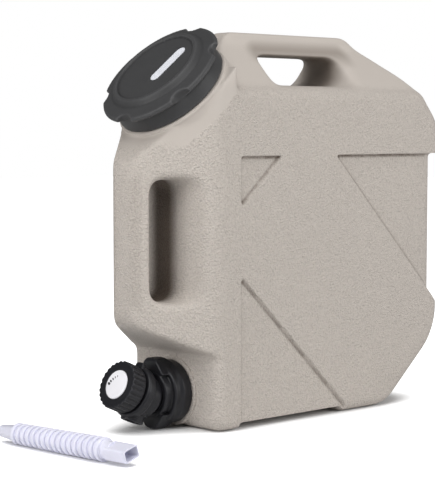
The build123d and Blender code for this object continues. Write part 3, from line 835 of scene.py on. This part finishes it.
def painted_shade_mask(mesh):
    """Painted shade for each vertex, in folds and deep in the hand openings: 0 on outer faces, 1 within."""
    points = corners(mesh)
    fold = folds(mesh, scene_sizes("tank").voxel)
    mask = np.clip((fold - HOLLOW_FOLD) / HOLLOW_FOLD_SPAN, 0, 1)
    off_axis, along = neck_distance(points)
    tap = joint_place("collar_turn").translation
    off_tap = np.hypot(points[:, 1], points[:, 2] - tap.z) + np.abs(points[:, 0] - tap.x)
    mask[((off_axis < NECK_CLEAR) & (along > NECK_CLEAR_LOW)) | (off_tap < TAP_CLEAR)] = 0
    for name, (shade, start) in OPENING_SHADE.items():
        deep = np.clip((start - np.abs(points[:, 1])) / (SHADE_DEPTH * start), 0, 1)
        near = np.clip((SHADE_REACH - beside_opening(points, name)) / SHADE_FADE, 0, 1)
        mask = np.maximum(mask, shade * near * deep)
    # Stored for the tank's material as its painted shade
    add_mask(mesh, "hollow", mask)


def grain_mask(mesh):
    """How much pebble grain each vertex carries: none round the cap and on the carry handle."""
    points = corners(mesh)
    off_axis, along = neck_distance(points)
    off_neck = np.clip((off_axis - NECK_CLEAR) / GRAIN_NECK_FADE, 0, 1) + (along < GRAIN_NECK_LOW)
    handle = np.clip((GRAIN_TOP - points[:, 2]) / GRAIN_TOP_FADE, 0, 1)
    add_mask(mesh, "grain", np.clip(off_neck, 0, 1) * handle)


def hollow_shell():
    """The tank's wall: its outside less its inside, both relaxed into moulded roundings."""
    sizes = scene_sizes("tank")
    outside, inside = split_shells()
    shell = remeshed(outside, sizes.voxel)
    shell = relaxed(shell, sizes.rounds, smoothing_weight(corners(shell)))
    shell = relaxed(shell, sizes.rim_rounds, rim_weight(corners(shell)))
    shell = finished(shell, [("DECIMATE", {"ratio": sizes.thinning})])
    inside = remeshed(inside, sizes.voxel)
    inside = relaxed(inside, sizes.rim_rounds + sizes.rounds, rim_weight(corners(inside)))
    inside = finished(inside, [("DECIMATE", {"ratio": INNER_THINNING * sizes.thinning})])
    return combined(shell, inside, "DIFFERENCE")


def with_tubes(shell, neck, tap):
    """The shell with its open neck and stub, and the lips that show round their seats."""
    sizes = scene_sizes("tank")
    for place, outer, bore, (low, high) in (
        (neck, sizes.neck_lip, sizes.neck_bore, NECK_LIP),
        (tap, sizes.stub_lip, sizes.stub_bore, STUB_LIP),
    ):
        lip = placed(threaded_tube(outer, bore, low, high, NECK_LEAD), place)
        shell = combined(shell, lip, "UNION")
    for place, outer, bore, root, height, lead in (
        (neck, sizes.neck_radius, sizes.neck_bore, NECK_ROOT, sizes.neck_height, NECK_LEAD),
        (tap, sizes.stub_radius, sizes.stub_bore, STUB_ROOT, sizes.stub_length, STUB_LEAD),
    ):
        tube = placed(threaded_tube(outer, bore - BORE_STOCK, root, height, lead), place)
        shell = combined(shell, tube, "UNION")
        shell = combined(shell, placed(rod(bore, *BORE_CUT), place), "DIFFERENCE")
    return shell


class CAN_OT_tank(bpy.types.Operator):
    """Makes the blow-moulded tank with its neck, its stub and their threads"""
    bl_idname = "can.tank"
    bl_label = "Tank"

    def execute(self, context):
        sizes = scene_sizes("tank")
        material = tank_plastic()
        neck, tap = joint_place("cap_turn"), joint_place("collar_turn")
        shell = with_tubes(hollow_shell(), neck, tap)
        shell.shade_smooth()
        shell.set_sharp_from_angle(angle=math.radians(TANK_SHARP))
        grain_mask(shell)
        # Painted shade in the folds and deep in the hand openings
        painted_shade_mask(shell)
        tank = shown("tank_shell", shell, material, "can")
        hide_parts("tank")
        threads = thread_tree(material)
        for name, place, radius, (pitch, turns, ridge) in (
            ("neck_thread", neck, sizes.neck_radius, NECK_THREAD),
            ("stub_thread", tap, sizes.stub_radius, STUB_THREAD),
        ):
            mesh = grown(threads, {"Radius": radius, "Pitch": pitch, "Turns": turns, "Ridge": ridge})
            mesh.shade_smooth()
            start = place @ Matrix.Translation((0, 0, THREAD_START))
            shown(name, placed(mesh, start), material, "can")
        return {"FINISHED"}


# The screw cap

# The plain white bar's middle on the cap's disc, how deep it is sunk and how far it stands up
MARK_MIDDLE = (0.005, -0.0125, 0)
MARK_SUNK = 0.2 * MM
MARK_RAISED = 0.25 * MM


def bar_outline(length, width, steps=14):
    """The outline of a bar with round ends, about its own middle."""
    half, radius = length / 2 - width / 2, width / 2
    points = []
    for side in (1, -1):
        for step in range(steps + 1):
            turn = math.pi * (step / steps - 0.5)
            points.append((side * (half + radius * math.cos(turn)), side * radius * math.sin(turn)))
    return points


def flat_plate(points, low, high):
    """A closed plate between two heights, over an outline."""
    form = bmesh.new()
    base = form.faces.new([form.verts.new((x, y, low)) for x, y in points])
    top = bmesh.ops.extrude_face_region(form, geom=[base])["geom"]
    lifted = [item for item in top if isinstance(item, bmesh.types.BMVert)]
    bmesh.ops.translate(form, verts=lifted, vec=(0, 0, high - low))
    bmesh.ops.recalc_face_normals(form, faces=form.faces)
    return to_mesh(form, "plate")


class CAN_OT_cap(bpy.types.Operator):
    """Makes the lobed screw cap, its plain white mark and its gasket's finish"""
    bl_idname = "can.cap"
    bl_label = "Cap"

    def execute(self, context):
        sizes = scene_sizes("fittings")
        # Black cap plastic with a painted highlight on its edges and painted shade in its folds
        black = moulded_plastic(
            "cap_plastic", tuple(sizes.cap_colour), rough=0.42, specular=0.2, painted_edge_light=0.8
        )
        white = moulded_plastic("mark_white", (0.72, 0.73, 0.78), rough=0.45)
        mesh = softened("cap", sizes.cap_voxel, sizes.rounds)
        cap = shown("cap_shell", mesh, black, "screw_cap")
        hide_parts("cap")
        bar = flat_plate(
            bar_outline(sizes.mark_length, sizes.mark_width),
            sizes.lid_height - MARK_SUNK, sizes.lid_height + MARK_RAISED,
        )
        turn = Matrix.Rotation(math.radians(sizes.mark_turn), 4, "Z")
        bar.transform(joint_place("cap_turn") @ Matrix.Translation(MARK_MIDDLE) @ turn)
        shown("cap_mark", bar, white, "screw_cap")
        rubber = moulded_plastic("cap_gasket_rubber", (0.62, 0.60, 0.55), rough=0.6)
        finish_node("cap_gasket", rubber)
        return {"FINISHED"}


# The tap

# Mesh size and smoothing rounds of the dial's disc
DIAL_VOXEL = 0.0004
DIAL_ROUNDS = 3
# The arc of dashes on the dial: its middle, its radius, and its first turn and step in degrees
ARC_MIDDLE = (-0.0065, -0.0045)
ARC_RADIUS = 0.0146
ARC_TURN = 66
ARC_STEP = 11
# A dash: width of the first, shrinking from one to the next, length over the width, rise
DASH_WIDTH = 2.2 * MM
DASH_SHRINKING = 0.73
DASH_STRETCH = 1.2 * MM
DASH_RISE = 0.2 * MM
# Points round each end of a dash
DASH_STEPS = 6


def flow_arc():
    """Plain dashes along an arc on the dial, each smaller than the one before."""
    sizes = scene_sizes("fittings")
    face = joint_place("knob_turn") @ Matrix.Translation((*ARC_MIDDLE, sizes.dial_height))
    dashes = []
    for index in range(sizes.dashes):
        width = DASH_WIDTH * DASH_SHRINKING ** index
        outline = bar_outline(width + DASH_STRETCH, width, DASH_STEPS)
        dash = flat_plate(outline, -DASH_RISE, DASH_RISE)
        spot = Matrix.Rotation(math.radians(ARC_TURN - ARC_STEP * index), 4, "Z")
        dash.transform(face @ spot @ Matrix.Translation((ARC_RADIUS, 0, 0)))
        dashes.append(dash)
    return joined(dashes, "dial_arc")


class CAN_OT_tap(bpy.types.Operator):
    """Makes the tap's black mouldings, its white dial and the finishes of its inside pieces"""
    bl_idname = "can.tap"
    bl_label = "Tap"

    def execute(self, context):
        sizes = scene_sizes("fittings")
        # Black tap plastic with a painted highlight on its edges and painted shade in its folds
        black = moulded_plastic(
            "tap_plastic", tuple(sizes.tap_colour), rough=0.36, specular=0.3, painted_edge_light=1.0
        )
        ribs = grown(rib_tree(black), {
            "Count": sizes.ribs, "Ring": sizes.rib_ring, "Height": sizes.rib_height,
        })
        ribs.transform(joint_place("knob_turn") @ Matrix.Translation((0, 0, sizes.rib_middle)))
        for node, body in (("tap_collar", "collar"), ("tap_body", "tap"), ("tap_knob", "knob")):
            extra = [ribs] if node == "tap_knob" else []
            mesh = softened(node, sizes.tap_voxel, sizes.rounds, extra)
            piece = shown(node.replace("tap_", "tap_form_"), mesh, black, body)
            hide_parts(node)
        white = moulded_plastic("dial_white", (0.86, 0.85, 0.88), rough=0.25)
        dial = softened("dial_disc", DIAL_VOXEL, DIAL_ROUNDS)
        piece = shown("dial_face", dial, white, "knob")
        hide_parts("dial_disc")
        ink = moulded_plastic("dial_ink", (0.02, 0.02, 0.025), rough=0.4)
        shown("dial_arc", flow_arc(), ink, "knob")
        rubber = moulded_plastic("seal_rubber", (0.03, 0.03, 0.03), rough=0.6)
        for node in ("tap_gasket", "plug_oring_front", "plug_oring_rear"):
            finish_node(node, rubber)
        for node in ("valve_plug", "plug_retainer"):
            finish_node(node, black)
        finish_node("knob_screw", steel())
        return {"FINISHED"}


# The loose spout

# How far the tube runs into the socket, and the lengths of its steps up to the rings and the cuff
SOCKET_LAP = 3 * MM
RING_LEAD = 0.4 * MM
CUFF_LEAD = 0.5 * MM
# The narrowing at the tip: its length and depth
TIP_LEAD = 1.2 * MM
TIP_NARROWING = 0.5 * MM
# How far the form that cuts the bore runs past both ends
BORE_SPARE = 2 * MM
# Width of a ring's section as a share of the pitch
RING_WIDTH = 0.62


def solid_of_revolution(points):
    """A closed solid about Z, from (radius, height) points between the axis and the axis."""
    return lathe([(0, points[0][1]), *points, (0, points[-1][1])], steps=72)


def rounded_rectangle(length, width, radius, steps=6):
    """The outline of a rectangle with round corners, about its own middle."""
    points = []
    for index, (across, along) in enumerate(((1, 1), (-1, 1), (-1, -1), (1, -1))):
        for step in range(steps + 1):
            turn = math.radians(90 * (index + step / steps))
            points.append((
                across * (length / 2 - radius) + radius * math.cos(turn),
                along * (width / 2 - radius) + radius * math.sin(turn),
            ))
    return points


def spout_solid(inset, spare):
    """The spout's closed form without its rings; spare lengthens both ends for the bore."""
    sizes = scene_sizes("spout")
    start = sizes.socket_length + sizes.neck_length
    end = start + sizes.rings * sizes.pitch
    tip = end + sizes.cuff_length
    root = sizes.crest_radius - sizes.groove
    last_root = sizes.tip_crest_radius - sizes.groove
    lap = SOCKET_LAP - inset
    tube = solid_of_revolution([
        (sizes.neck_radius - inset, sizes.socket_length - lap), (sizes.neck_radius - inset, start),
        (root - inset, start + RING_LEAD), (last_root - inset, end),
        (sizes.cuff_radius - inset, end + CUFF_LEAD), (sizes.tip_radius - inset, tip - TIP_LEAD),
        (sizes.tip_radius - inset - TIP_NARROWING, tip + spare),
    ])
    section = rounded_rectangle(
        sizes.socket_height - 2 * inset, sizes.socket_width - 2 * inset, sizes.socket_round
    )
    socket = flat_plate(section, -spare, sizes.socket_length - inset)
    socket.transform(Matrix.Rotation(math.radians(-sizes.roll), 4, "Z"))
    return combined(tube, socket, "UNION")


class CAN_OT_spout(bpy.types.Operator):
    """Makes the loose corrugated spout with its square socket and tapered cuff"""
    bl_idname = "can.spout"
    bl_label = "Spout"

    def execute(self, context):
        sizes = scene_sizes("spout")
        milky = milky_plastic("spout_plastic", tuple(sizes.colour))
        core = combined(spout_solid(0.0, 0.0), spout_solid(sizes.wall, BORE_SPARE), "DIFFERENCE")
        core.shade_smooth()
        core.set_sharp_from_angle(angle=math.radians(SPOUT_SHARP))
        place = spout_place()
        piece = shown("spout_form", placed(core, place), milky, "can")
        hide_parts("spout")
        depth = sizes.groove + sizes.wall
        rings = grown(ring_tree(milky), {
            "Count": sizes.rings, "Pitch": sizes.pitch, "Radius": sizes.crest_radius - depth / 2,
            "Depth": depth, "Width": RING_WIDTH * sizes.pitch,
            "Taper": 1 - sizes.tip_crest_radius / sizes.crest_radius,
        })
        rings.shade_smooth()
        first = sizes.socket_length + sizes.neck_length + sizes.pitch / 2
        rings.transform(place @ Matrix.Translation((0, 0, first)))
        shown("spout_rings", rings, milky, "can")
        return {"FINISHED"}


# Floor, lamps and camera

FLOOR_SIZE = 6.0
# Size, place and target of each soft lamp
LAMPS = {
    "key": ((1.6, 1.6), (-0.9, -0.7, 1.7), (0.1, 0, 0.15)),
    "side": ((1.4, 1.4), (0.9, -1.8, 0.9), (0.1, 0, 0.15)),
    "front": ((1.0, 1.0), (-2.0, 0.2, 0.7), (-0.1, 0, 0.15)),
}
# The photo's camera: lens in mm, place, heading along X and Y, and pitch below level in degrees
CAMERA_LENS = 118.4
CAMERA_PLACE = (-0.9643, -1.0746, 0.263)
CAMERA_HEADING = (0.682, 0.731)
CAMERA_PITCH = 4.15


def soft_lamp(name, power, size, spot, target):
    """A rectangular area light that faces a target."""
    lamp = bpy.data.lights.new(name, "AREA")
    lamp.energy = power
    lamp.shape = "RECTANGLE"
    lamp.size, lamp.size_y = size
    holder = added(name, lamp)
    holder.location = spot
    holder.rotation_euler = (Vector(target) - Vector(spot)).to_track_quat("-Z", "Y").to_euler()


def floor_material():
    """A pale floor that reads white to the camera and still takes the can's shadow."""
    pale, paler = (0.86, 0.86, 0.86), (0.88, 0.88, 0.88)
    material, tree, surface, place = shader("studio_floor", pale, rough=0.9, specular=0.0)
    colour = mixed(tree, noise(tree, place, scale=30.0), pale, paler)
    tree.links.new(colour, surface.inputs["Base Color"])
    sizes = scene_sizes("stage")
    open_sky = add_node(tree, "ShaderNodeAmbientOcclusion", {"Distance": sizes.glow_reach})
    whiter = mapped(tree, open_sky.outputs["AO"], sizes.floor_glow, 1.0, start=0.45, end=0.85)
    path = add_node(tree, "ShaderNodeLightPath")
    glow = maths(tree, "MULTIPLY", path.outputs["Is Camera Ray"], whiter)
    surface.inputs["Emission Color"].default_value = (1, 1, 1, 1)
    tree.links.new(glow, surface.inputs["Emission Strength"])
    return material


def surroundings(ambient):
    """A world that is white to the camera and gives the given light."""
    world = bpy.data.worlds.new("studio")
    world.use_nodes = True
    tree = world.node_tree
    path = add_node(tree, "ShaderNodeLightPath")
    strength = mapped(tree, path.outputs["Is Camera Ray"], ambient, 1.0)
    sky = tree.nodes["Background"]
    sky.inputs["Color"].default_value = (1, 1, 1, 1)
    tree.links.new(strength, sky.inputs["Strength"])
    return world


def photo_camera():
    """A camera where the photo's stood."""
    lens = bpy.data.cameras.new("camera")
    lens.sensor_width = 36.0
    lens.lens = CAMERA_LENS
    lens.clip_end = 50.0
    camera = added("camera", lens)
    camera.location = CAMERA_PLACE
    pitch = math.radians(CAMERA_PITCH)
    level = [part * math.cos(pitch) for part in CAMERA_HEADING]
    look = Vector((*level, -math.sin(pitch)))
    camera.rotation_euler = look.to_track_quat("-Z", "Y").to_euler()
    return camera


class CAN_OT_stage(bpy.types.Operator):
    """Makes the pale floor, the soft lamps, the white surroundings and the camera"""
    bl_idname = "can.stage"
    bl_label = "Stage"

    def execute(self, context):
        sizes = scene_sizes("stage")
        scene = context.scene
        form = bmesh.new()
        bmesh.ops.create_grid(form, x_segments=1, y_segments=1, size=FLOOR_SIZE)
        floor = added("studio_floor", to_mesh(form, "studio_floor"))
        floor.data.materials.append(floor_material())
        for name, (size, spot, target) in LAMPS.items():
            soft_lamp(f"{name}_lamp", getattr(sizes, f"{name}_power"), size, spot, target)
        scene.world = surroundings(sizes.ambient)
        scene.camera = photo_camera()
        scene.view_settings.view_transform = "Standard"
        return {"FINISHED"}


# Panel and registration

class CAN_PT_panel(bpy.types.Panel):
    """The can's pieces and sizes in the sidebar"""
    bl_label = "Camping water can"
    bl_idname = "CAN_PT_panel"
    bl_space_type = "VIEW_3D"
    bl_region_type = "UI"
    bl_category = "Can"

    def draw(self, context):
        for name, group in SIZE_GROUPS.items():
            box = self.layout.box()
            box.label(text=name.capitalize())
            for key in group.__annotations__:
                box.prop(scene_sizes(name), key)
        for operator in OPERATORS:
            self.layout.operator(operator.bl_idname)


OPERATORS = (CAN_OT_stage, CAN_OT_tank, CAN_OT_cap, CAN_OT_tap, CAN_OT_spout)
CLASSES = (*SIZE_GROUPS.values(), *OPERATORS, CAN_PT_panel)


def register():
    for item in CLASSES:
        bpy.utils.register_class(item)
    for name, group in SIZE_GROUPS.items():
        setattr(bpy.types.Scene, f"can_{name}", PointerProperty(type=group))


def unregister():
    for name in SIZE_GROUPS:
        delattr(bpy.types.Scene, f"can_{name}")
    for item in reversed(CLASSES):
        bpy.utils.unregister_class(item)


def main():
    register()
    bpy.ops.can.stage()
    bpy.ops.can.tank()
    bpy.ops.can.cap()
    bpy.ops.can.tap()
    bpy.ops.can.spout()


if __name__ == "__main__":
    main()
